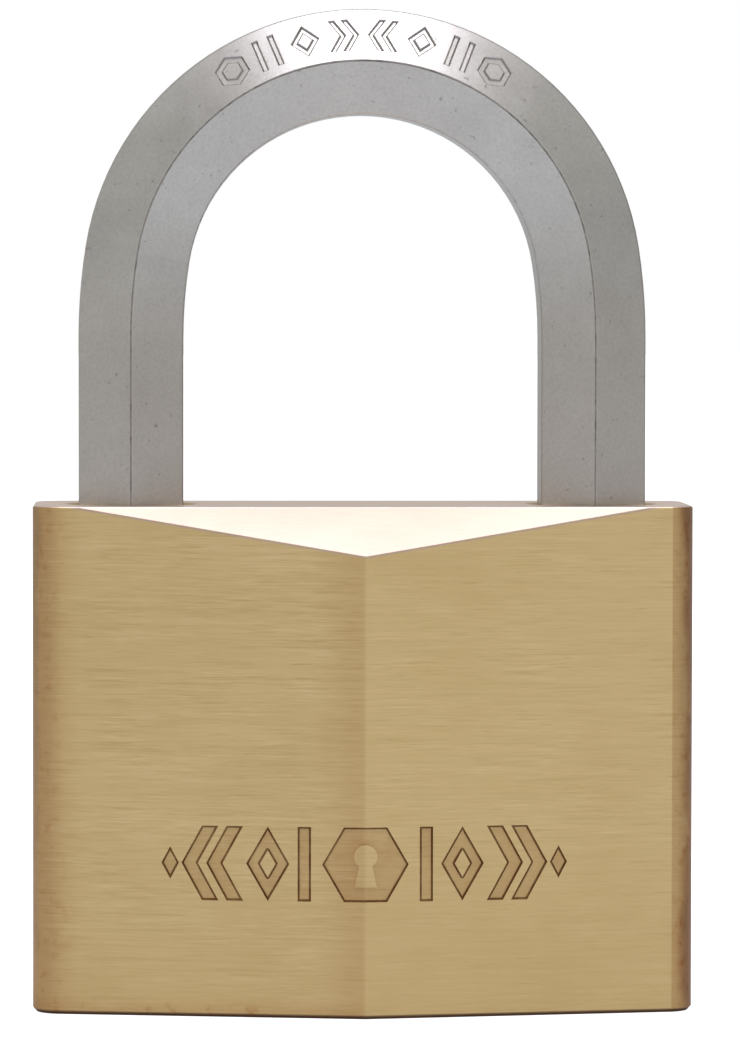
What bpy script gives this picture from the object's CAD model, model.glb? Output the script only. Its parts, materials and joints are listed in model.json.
"""Looks of the brass padlock: camera, studio light and procedural materials.

Lengths are in metres and colours are sRGB from 0 to 255, unless a comment says otherwise.
"""
import json
import math

import bpy
from mathutils import Euler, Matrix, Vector


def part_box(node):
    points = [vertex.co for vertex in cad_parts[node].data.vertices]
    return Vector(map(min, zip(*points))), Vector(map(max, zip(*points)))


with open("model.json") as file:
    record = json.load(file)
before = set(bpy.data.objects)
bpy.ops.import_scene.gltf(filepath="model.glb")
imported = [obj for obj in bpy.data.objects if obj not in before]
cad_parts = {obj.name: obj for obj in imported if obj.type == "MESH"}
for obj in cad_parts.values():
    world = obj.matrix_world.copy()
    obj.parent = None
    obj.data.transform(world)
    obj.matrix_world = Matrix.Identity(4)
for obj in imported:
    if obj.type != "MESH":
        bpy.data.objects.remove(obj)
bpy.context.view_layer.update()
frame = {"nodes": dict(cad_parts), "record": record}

MM = 0.001

# ---- camera: a long lens a little above the lock, slightly to its left -----------
SENSOR_MM = 36.0
LENS_MM = 197.77307
CAMERA_AT = Vector((-0.02052, -0.57079, 0.07070))
CAMERA_YAW = math.radians(2.146)
CAMERA_PITCH = math.radians(2.294)
CAMERA_ROLL = math.radians(0.084)

# ---- shape, repeated from the CAD where a finish follows it ------------------------
FACE_FALL = 1 / 6                     # how fast the faces fall away from the ridge
RIGHT_EDGE_X = 30.3 * MM              # edge between the right face and its rounded end
BEVEL_TOP_HALF = 8.75 * MM            # from the middle of the top face to the bevel
BEVEL_DROP = 4.65 * MM                # height of the bevel at the ridge
BEVEL_RUN_PER_DROP = 4.75 / 4.65
CROWN_RADIUS = 22.477 * MM            # centre line of the shackle's top arc
HEX_APOTHEM = 5.175 * MM              # half the bar's size across flats
FACET_OUTWARD = 0.5                   # outward part of the normal of the bar's front facets
FACET_FORWARD = math.sqrt(0.75)       # and its forward part

# ---- where finishes come in, as (none, full) ------------------------------------------
RIDGE_BLEND = (-0.4 * MM, 0.2 * MM)   # across, from the left face to the right one
BELOW_EMBLEM_TOP = (0.42, 0.44)       # part of the body's height
EMBLEM_REACH = 0.7                    # part of the body's half width
ENGRAVED_DEPTH = (0.04 * MM, 0.2 * MM)
OUTLINE_DEPTH = (0.34 * MM, 0.44 * MM)
DEEPEST_DEPTH = 0.7 * MM              # anything deeper is not engraving
MARK_WALL_TOP = (0.03 * MM, 0.08 * MM)
MARK_WALL_FOOT = (0.15 * MM, 0.19 * MM)

# ---- colours ------------------------------------------------------------------------
BRASS_DARK = (194, 167, 116)
BRASS_MID = (206, 180, 129)
BRASS_LIGHT = (216, 191, 143)
BRASS_SCRATCH = (172, 138, 92)
TARNISH = (168, 118, 70)
CORNER_BROWN = (112, 80, 66)
RECESS_BROWN = (168, 124, 82)
OUTLINE_BROWN = (112, 68, 34)
BEVEL_PALE = (172, 155, 159)
TOP_PINK = (252, 237, 234)
STEEL_DARK = (190, 187, 181)
STEEL_LIGHT = (202, 200, 193)
LEG_STEEL = (181, 170, 159)
SPECK_GREY = (98, 92, 87)
FLUSH_DULLING = 0.25                  # how much duller the press plugs are than the body

# ---- marks of the finish, per metre along each axis ----------------------------------
FINE_BRUSH = (300.0, 440.0, 9000.0)
MEDIUM_BRUSH = (80.0, 140.0, 2700.0)
BRUSH_PATCHES = (160.0, 160.0, 420.0)
SCRATCH_LINES = (240.0, 300.0, 5200.0)
GRINDING_LINES = (700.0, 700.0, 90.0)

# Inner pieces: CAD slot, then name, two tones, wear lines per metre on each axis, roughness.
TURNED_FINISHES = {
    "brass_plug": ("turned_brass", (176, 142, 92), (206, 172, 118), (900, 2500, 2500), 0.32),
    "pin_brass": ("pin_brass", (188, 152, 92), (214, 180, 118), (3000, 900, 900), 0.28),
    "inner_steel": ("machined_steel", (120, 120, 122), (158, 158, 160), (2500, 700, 700), 0.34),
    "pin_steel": ("ground_pin_steel", (138, 137, 134), (172, 171, 168), (2500, 900, 900), 0.30),
    "spring_steel": ("spring_wire", (116, 116, 120), (150, 150, 154), (1800, 1800, 1800), 0.33),
}

# ---- light ------------------------------------------------------------------------------
WORLD_BASE = 0.56                     # light from all round
WORLD_FRONT = 0.35                    # added in front of the lock
WORLD_FRONT_RIGHT = 0.22              # added to the front right, taken from the front left
WORLD_SIDE = 0.09                     # taken from both sides
WORLD_SIDE_TILT = 0.21                # taken from the right side, added to the left
WORLD_WHITE = (1.0, 1.0, 1.0, 1.0)
OVERHEAD_AT = Vector((0.029, -0.26, 0.95))
OVERHEAD_TARGET = Vector((0.029, -0.104, 0.05))
OVERHEAD_SIZE = (0.52, 0.85)
OVERHEAD_POWER = 6.3                  # watts
OVERHEAD_COLOUR = (0.95, 0.925, 1.06)       # linear
FLOOR_HALF = 6.0
FLOOR_GAP = 0.03 * MM                 # keeps the floor clear of the bottom face
FLOOR_GLOW = 0.85                     # brightness added where the camera sees the floor
FLOOR_DARK = (0.71, 0.74, 0.76, 1.0)        # linear
FLOOR_LIGHT = (0.73, 0.76, 0.78, 1.0)       # linear


def linear(*rgb):
    """sRGB values from 0 to 255 as linear colour with alpha."""
    out = []
    for c in rgb:
        c = c / 255
        out.append(c / 12.92 if c <= 0.04045 else ((c + 0.055) / 1.055) ** 2.4)
    return (*out, 1.0)


# ---- node helpers ----------------------------------------------------------------------
class Nodes:
    """Short calls that add nodes to one tree; values are numbers or outputs of nodes."""

    def __init__(self, tree):
        self.tree = tree

    def node(self, kind, **inputs):
        """Adds a node; a space in an input's name is written as _."""
        n = self.tree.nodes.new(kind)
        for key, value in inputs.items():
            self.plug(n.inputs[key.replace("_", " ")], value)
        return n

    def plug(self, socket, value):
        """Links an output or sets a plain value."""
        if isinstance(value, bpy.types.NodeSocket):
            self.tree.links.new(value, socket)
        else:
            socket.default_value = value

    def math(self, op, a, b=0.0, clamp=False):
        """Math node."""
        n = self.tree.nodes.new("ShaderNodeMath")
        n.operation = op
        n.use_clamp = clamp
        self.plug(n.inputs[0], a)
        self.plug(n.inputs[1], b)
        return n.outputs[0]

    def times(self, first, *others):
        """Product."""
        for other in others:
            first = self.math("MULTIPLY", first, other)
        return first

    def plus(self, first, *others):
        """Sum."""
        for other in others:
            first = self.math("ADD", first, other)
        return first

    def minus(self, a, b):
        """Difference."""
        return self.math("SUBTRACT", a, b)

    def inverse(self, value):
        """1 less the value."""
        return self.minus(1.0, value)

    def negative(self, value):
        """The value with its sign changed."""
        return self.times(value, -1.0)

    def absolute(self, value):
        """The value without its sign."""
        return self.math("ABSOLUTE", value)

    def larger(self, a, b):
        """The larger of two values."""
        return self.math("MAXIMUM", a, b)

    def more_than(self, a, b):
        """1 where a is more than b, 0 elsewhere."""
        return self.math("GREATER_THAN", a, b)

    def less_than(self, a, b):
        """1 where a is less than b, 0 elsewhere."""
        return self.math("LESS_THAN", a, b)

    def axes(self, vector):
        """X, Y and Z of a vector."""
        n = self.node("ShaderNodeSeparateXYZ", Vector=vector)
        return n.outputs["X"], n.outputs["Y"], n.outputs["Z"]

    def camera_ray(self):
        """1 for what the camera sees directly, 0 for light and reflections."""
        return self.node("ShaderNodeLightPath").outputs["Is Camera Ray"]


class Shade(Nodes):
    """One material on a Principled shader, laid out in the object's own coordinates."""

    def __init__(self, name, metallic=1.0, roughness=0.35):
        self.material = bpy.data.materials.new(name)
        self.material.use_nodes = True
        super().__init__(self.material.node_tree)
        self.bsdf = self.tree.nodes["Principled BSDF"]
        self.bsdf.inputs["Metallic"].default_value = metallic
        self.bsdf.inputs["Roughness"].default_value = roughness
        self.position = self.node("ShaderNodeTexCoord").outputs["Object"]

    def noise(self, scale, detail=3.0, rough=0.5):
        """Noise over the object; scale per metre is one number or one per axis."""
        if not isinstance(scale, tuple):
            scale = (scale,) * 3
        scaled = self.node("ShaderNodeMapping", Vector=self.position, Scale=scale)
        n = self.node("ShaderNodeTexNoise", Vector=scaled.outputs["Vector"], Scale=1.0,
                      Detail=detail, Roughness=rough)
        return n.outputs["Fac"]

    def step(self, value, low, high):
        """0 below low, 1 above high, smooth between."""
        n = self.tree.nodes.new("ShaderNodeMapRange")
        n.interpolation_type = "SMOOTHSTEP"
        self.plug(n.inputs["Value"], value)
        n.inputs["From Min"].default_value = low
        n.inputs["From Max"].default_value = high
        return n.outputs["Result"]

    def ramp(self, fac, stops):
        """Colour ramp; stops are (position, linear colour)."""
        n = self.node("ShaderNodeValToRGB", Fac=fac)
        while len(n.color_ramp.elements) < len(stops):
            n.color_ramp.elements.new(0.5)
        for element, (where, colour) in zip(n.color_ramp.elements, stops):
            element.position = where
            element.color = colour
        return n.outputs["Color"]

    def mix(self, fac, a, b):
        """Colour mix of a and b."""
        n = self.tree.nodes.new("ShaderNodeMix")
        n.data_type = "RGBA"
        self.plug(n.inputs["Factor"], fac)
        self.plug(n.inputs[6], a)
        self.plug(n.inputs[7], b)
        return n.outputs[2]

    def tint(self, base, colour, *masks, amount):
        """Mixes base toward an sRGB colour by the amount, times each mask."""
        return self.mix(self.times(*masks, amount), base, linear(*colour))

    def bump(self, height, distance, strength, after=None):
        """Bump normal, on top of an earlier one."""
        n = self.node("ShaderNodeBump", Height=height, Distance=distance, Strength=strength)
        if after is not None:
            self.plug(n.inputs["Normal"], after)
        return n.outputs["Normal"]

    def finish(self, colour, roughness=None, normal=None):
        """Plugs the results into the shader."""
        for key, value in (("Base Color", colour), ("Roughness", roughness), ("Normal", normal)):
            if value is not None:
                self.plug(self.bsdf.inputs[key], value)
        return self.material


# ---- body -----------------------------------------------------------------------------------
def brush_marks(s, x):
    """Horizontal brushing round a mean of 0.5, in patches and fainter on the right face."""
    fine = s.noise(FINE_BRUSH, detail=4.0, rough=0.65)
    medium = s.noise(MEDIUM_BRUSH, detail=4.0, rough=0.65)
    streak = s.plus(s.times(fine, 0.6), s.times(medium, 0.4))
    patches = s.step(s.noise(BRUSH_PATCHES, rough=0.6), 0.3, 0.7)
    right_face = s.step(x, *RIDGE_BLEND)
    contrast = s.times(s.plus(0.6, patches), s.inverse(s.times(right_face, 0.3)))
    return s.plus(s.times(s.minus(streak, 0.5), contrast), 0.5)


def clean_brass(s, streak, cloud, z, height):
    """Brushed brass with clouds, single scratches and a slightly darker lower half."""
    blotch = s.noise(24.0)
    scratch = s.step(s.noise(SCRATCH_LINES, detail=2.0), 0.66, 0.74)
    base = s.ramp(streak, [(0.36, linear(*BRASS_DARK)), (0.5, linear(*BRASS_MID)),
                           (0.66, linear(*BRASS_LIGHT))])
    base = s.tint(base, BRASS_DARK, s.step(cloud, 0.45, 0.75), amount=0.35)
    base = s.tint(base, BRASS_LIGHT, s.step(blotch, 0.5, 0.8), amount=0.25)
    base = s.tint(base, BRASS_SCRATCH, scratch, amount=0.32)
    return s.tint(base, BRASS_DARK, s.inverse(s.step(z, 0.0, height * 0.45)), amount=0.25)


def tarnish_ends(s, base, across, x, y, z, half_width):
    """Tarnish on both ends, brown at their corners, and tarnish along the left face's foot."""
    leftward = s.negative(across)
    left_end = s.times(s.step(leftward, half_width - 5.5 * MM, half_width - 0.5 * MM), 0.57)
    at_edge = s.step(x, RIGHT_EDGE_X - 0.08 * MM, RIGHT_EDGE_X + 0.08 * MM)
    past_edge = s.step(across, RIGHT_EDGE_X + 0.5 * MM, RIGHT_EDGE_X + 1.6 * MM)
    right_end = s.plus(s.times(at_edge, 0.42), s.times(past_edge, 0.45))
    fleck = s.step(s.noise(900.0, rough=0.6), 0.52, 0.7)
    beside_corner = s.step(s.absolute(y), 3.0 * MM, 5.6 * MM)
    base = s.tint(base, TARNISH, s.larger(left_end, right_end), s.plus(0.85, s.times(fleck, 0.4)),
                  amount=s.plus(0.25, s.times(beside_corner, 0.75)))

    right_corner = s.step(across, RIGHT_EDGE_X + 0.9 * MM, half_width - 0.2 * MM)
    left_corner = s.step(leftward, half_width - 1.0 * MM, half_width - 0.1 * MM)
    corner = s.larger(right_corner, s.times(left_corner, 0.6))
    base = s.tint(base, CORNER_BROWN, corner, beside_corner, amount=0.48)

    near_foot = s.times(s.inverse(s.step(z, 0.3 * MM, 2.0 * MM)), s.step(leftward, -1.0 * MM, 1.0 * MM))
    base = s.tint(base, TARNISH, near_foot, amount=s.plus(0.25, s.times(fleck, 0.4)))
    return base


def pale_top(s, base, across, x, y, z, height):
    """Paler brass on the bevels and the top face, and tarnish left of the ridge below them."""
    lift = s.plus(s.absolute(y), s.times(z, BEVEL_RUN_PER_DROP))
    bevel_at = BEVEL_TOP_HALF + height * BEVEL_RUN_PER_DROP
    foot_of_bevel = height - BEVEL_DROP
    bevel = s.times(s.step(lift, bevel_at - 0.3 * MM, bevel_at - 0.1 * MM),
                    s.step(z, foot_of_bevel - 0.25 * MM, foot_of_bevel - 0.05 * MM))
    beside_ridge = s.times(s.step(across, -6.0 * MM, -0.6 * MM), s.inverse(s.step(x, *RIDGE_BLEND)))
    base = s.tint(base, TARNISH, beside_ridge, s.inverse(bevel), amount=0.22)
    base = s.tint(base, BEVEL_PALE, bevel, amount=0.6)
    return s.tint(base, TOP_PINK, s.step(z, height - 0.12 * MM, height - 0.04 * MM), amount=0.55)


def brown_engraving(s, base, x, y, z, half_width, half_depth, height):
    """Patina in the emblem, darkest in its outline. Returns the colour and the emblem's mask."""
    depth = s.minus(half_depth, s.plus(s.absolute(y), s.times(s.absolute(x), FACE_FALL)))
    low = s.inverse(s.step(z, *(height * part for part in BELOW_EMBLEM_TOP)))
    low_front = s.times(low, s.less_than(y, 0.0), s.less_than(depth, DEEPEST_DEPTH),
                        s.less_than(s.absolute(x), half_width * EMBLEM_REACH))
    recess = s.times(s.step(depth, *ENGRAVED_DEPTH), low_front)
    outline = s.times(s.step(depth, *OUTLINE_DEPTH), low_front)
    patina = s.noise(420.0, detail=4.0, rough=0.65)
    base = s.tint(base, RECESS_BROWN, recess, amount=s.plus(-0.05, s.times(patina, 0.65)))
    in_outline = s.math("ADD", 0.1, s.times(patina, 1.2), clamp=True)
    return s.tint(base, OUTLINE_BROWN, outline, amount=in_outline), recess


def brass_body(name="brushed_brass", dulling=0.0):
    """Brushed brass, tarnished at the ends, by the ridge, along the foot and in the emblem."""
    low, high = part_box("lock_body")
    half_width, half_depth, height = (high[0] - low[0]) / 2, (high[1] - low[1]) / 2, high[2] - low[2]
    s = Shade(name)
    x, y, z = s.axes(s.position)
    streak = brush_marks(s, x)
    cloud = s.noise(75.0, detail=4.0, rough=0.6)
    across = s.plus(x, s.times(s.minus(cloud, 0.5), 4.0 * MM))    # x with an uneven edge
    base = clean_brass(s, streak, cloud, z, height)
    base = tarnish_ends(s, base, across, x, y, z, half_width)
    base = pale_top(s, base, across, x, y, z, height)
    base, recess = brown_engraving(s, base, x, y, z, half_width, half_depth, height)
    base = s.tint(base, CORNER_BROWN, s.inverse(s.step(z, 0.2 * MM, 0.45 * MM)), amount=0.82)
    if dulling:
        base = s.mix(dulling, base, linear(*TARNISH))

    rough = s.plus(0.31, s.times(streak, 0.16), s.times(cloud, 0.07), s.times(recess, 0.12))
    normal = s.bump(streak, distance=0.02 * MM, strength=0.35)
    normal = s.bump(cloud, distance=0.08 * MM, strength=0.12, after=normal)
    return s.finish(base, rough, normal)


# ---- shackle and inner pieces -----------------------------------------------------------------
def shade_shackle(s, base, x, y, z):
    """Grey along the bar's vertices, duller outer facets, and grey walls in the crown's marks."""
    low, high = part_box("shackle")
    vertex = (high[1] - low[1]) / 2
    edge = s.step(s.absolute(y), vertex - 0.018 * MM, vertex - 0.008 * MM)
    broken = s.step(s.noise(700.0, rough=0.6), 0.42, 0.72)
    base = s.tint(base, SPECK_GREY, edge, amount=s.plus(0.62, s.times(broken, 0.3)))

    up = s.minus(z, high[2] - CROWN_RADIUS - HEX_APOTHEM)    # from the centre of the top arc
    radius = s.math("SQRT", s.plus(s.times(x, x), s.times(up, up)))
    outward = s.times(s.minus(radius, CROWN_RADIUS), FACET_OUTWARD)
    on_arch = s.step(up, 0.0, 8.0 * MM)
    base = s.tint(base, SPECK_GREY, s.step(outward, 0.0, 0.1 * MM), on_arch, amount=0.085)

    depth = s.minus(HEX_APOTHEM, s.plus(outward, s.times(s.absolute(y), FACET_FORWARD)))
    wall = s.minus(s.step(depth, *MARK_WALL_TOP), s.step(depth, *MARK_WALL_FOOT))
    crown = s.times(s.more_than(up, CROWN_RADIUS * 0.5), s.more_than(outward, 0.4 * MM),
                    s.less_than(y, -HEX_APOTHEM * 0.5))
    return s.tint(base, SPECK_GREY, wall, crown, amount=0.5)


def shackle_steel():
    """Satin steel, warmer on the legs, with faint grinding lines and darker specks."""
    s = Shade("satin_steel")
    x, y, z = s.axes(s.position)
    cloud = s.noise(120.0, detail=4.0, rough=0.6)
    grind = s.noise(GRINDING_LINES, rough=0.6)
    pits = s.noise(1500.0, detail=2.0)
    mottle = s.noise(3200.0, rough=0.7)
    base = s.ramp(cloud, [(0.3, linear(*STEEL_DARK)), (0.7, linear(*STEEL_LIGHT))])
    base = s.tint(base, LEG_STEEL, s.inverse(s.step(z, 58.0 * MM, 80.0 * MM)), amount=0.5)
    base = s.tint(base, SPECK_GREY, s.step(mottle, 0.35, 0.75), amount=0.16)
    base = s.tint(base, SPECK_GREY, s.step(pits, 0.68, 0.76), amount=0.4)
    base = shade_shackle(s, base, x, y, z)
    rough = s.plus(0.27, s.times(cloud, 0.12), s.times(grind, 0.06))
    return s.finish(base, rough, s.bump(grind, distance=0.03 * MM, strength=0.25))


def turned_metal(name, dark, light, lines, roughness):
    """Turned or ground metal with fine rings of wear."""
    s = Shade(name)
    rings = s.noise(lines, rough=0.6)
    cloud = s.noise(260.0)
    base = s.mix(s.times(cloud, 0.8), linear(*dark), linear(*light))
    rough = s.plus(roughness - 0.05, s.times(rings, 0.12))
    return s.finish(base, rough, s.bump(rings, distance=0.02 * MM, strength=0.3))


def assign(material, node):
    """Puts one material on a CAD node."""
    for slot in frame["nodes"][node].material_slots:
        slot.material = material


def apply_materials():
    """Gives every CAD node its finish."""
    by_slot = {"brass_body": brass_body(), "shackle_steel": shackle_steel()}
    for slot, finish in TURNED_FINISHES.items():
        by_slot[slot] = turned_metal(*finish)
    for part in frame["record"]["subparts"]:
        assign(by_slot[part["material_slot"]], part["node"])
    flush_brass = brass_body("flush_brass", FLUSH_DULLING)
    for node in ("bolt_bore_plug", "chamber_plugs"):
        assign(flush_brass, node)


# ---- studio --------------------------------------------------------------------------------------
def build_surround():
    """Pale tent: white to the camera, and as light brighter in front and darker on the right."""
    world = bpy.data.worlds.new("studio")
    bpy.context.scene.world = world
    world.use_nodes = True
    s = Nodes(world.node_tree)
    x, y, _ = s.axes(s.node("ShaderNodeTexCoord").outputs["Generated"])
    forward = s.larger(s.negative(y), 0.0)
    front = s.times(forward, forward, WORLD_FRONT)
    taken = s.plus(s.times(x, WORLD_SIDE_TILT), WORLD_SIDE)
    side = s.times(s.math("POWER", s.absolute(x), 3.0), taken)
    level = s.plus(s.minus(s.plus(front, WORLD_BASE), side), s.times(x, forward, WORLD_FRONT_RIGHT))
    seen = s.camera_ray()
    background = world.node_tree.nodes["Background"]
    background.inputs["Color"].default_value = WORLD_WHITE
    s.plug(background.inputs["Strength"], s.plus(seen, s.times(s.inverse(seen), level)))


def build_floor():
    """Pale matt floor that takes the soft contact shadow."""
    mesh = bpy.data.meshes.new("floor")
    corners = [(sx * FLOOR_HALF, sy * FLOOR_HALF, 0) for sx, sy in ((-1, -1), (1, -1), (1, 1), (-1, 1))]
    mesh.from_pydata(corners, [], [(0, 1, 2, 3)])
    floor = bpy.data.objects.new("floor", mesh)
    floor.location.z = -FLOOR_GAP
    bpy.context.collection.objects.link(floor)
    s = Shade("floor_paint", metallic=0.0, roughness=0.6)
    s.bsdf.inputs["Emission Color"].default_value = (1, 1, 1, 1)
    s.plug(s.bsdf.inputs["Emission Strength"], s.times(s.camera_ray(), FLOOR_GLOW))
    tone = s.noise(6.0)
    mesh.materials.append(s.finish(s.ramp(tone, [(0.3, FLOOR_DARK), (0.7, FLOOR_LIGHT)])))


def build_overhead():
    """Softbox above and in front of the lock, which the bevel and the crown mirror."""
    data = bpy.data.lights.new("overhead", "AREA")
    data.shape = "RECTANGLE"
    data.size, data.size_y = OVERHEAD_SIZE
    data.energy = OVERHEAD_POWER
    data.color = OVERHEAD_COLOUR
    light = bpy.data.objects.new("overhead", data)
    bpy.context.collection.objects.link(light)
    light.location = OVERHEAD_AT
    light.rotation_euler = (OVERHEAD_TARGET - OVERHEAD_AT).to_track_quat("-Z", "Y").to_euler()


def build_camera():
    """Camera at the lock's viewing angle, with no shift."""
    data = bpy.data.cameras.new("camera")
    data.sensor_fit = "AUTO"
    data.sensor_width = SENSOR_MM
    data.lens = LENS_MM
    data.clip_start = 0.01
    camera = bpy.data.objects.new("camera", data)
    bpy.context.collection.objects.link(camera)
    camera.location = CAMERA_AT
    turn = Euler((math.pi / 2 - CAMERA_PITCH, 0, -CAMERA_YAW), "XYZ").to_matrix()
    roll = Euler((0, 0, CAMERA_ROLL), "XYZ").to_matrix()
    camera.rotation_euler = (turn @ roll).to_euler()
    bpy.context.scene.camera = camera


apply_materials()
build_floor()
build_surround()
build_overhead()
build_camera()
bpy.context.scene.view_settings.view_transform = "Standard"
